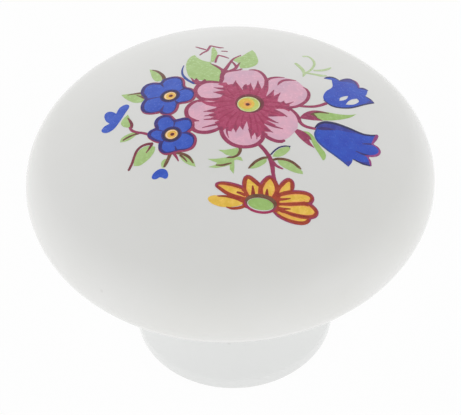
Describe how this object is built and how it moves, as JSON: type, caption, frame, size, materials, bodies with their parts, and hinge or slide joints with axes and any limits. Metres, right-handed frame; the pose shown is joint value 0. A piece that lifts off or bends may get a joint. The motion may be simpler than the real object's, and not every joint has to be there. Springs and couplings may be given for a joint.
{
  "type": "cabinet knob",
  "caption": "Mushroom-shaped white porcelain knob with a waisted neck, a flower spray printed on its dome and a blind threaded brass insert in its foot.",
  "frame": {"origin": "centre of the foot's flat face, where the knob meets the door", "axes": "+Z along the knob's axis from the foot to the dome; -Y is the side that faces the viewer, so the flower spray is seen upright with +X to the right"},
  "size_m": [0.0381, 0.038, 0.0286],
  "materials": {
    "porcelain": "gloss",
    "brass": "machined",
    "cement": "matt",
    "ink_pink": "gloss",
    "ink_magenta": "gloss",
    "ink_green": "gloss",
    "ink_blue": "gloss",
    "ink_yellow": "gloss"
  },
  "bodies": {
    "root": {"knob_body": "porcelain", "threaded_insert": "brass", "insert_cement": "cement", "print_pink": "ink_pink", "print_magenta": "ink_magenta", "print_green": "ink_green", "print_blue": "ink_blue", "print_yellow": "ink_yellow"}
  },
  "joints": []
}
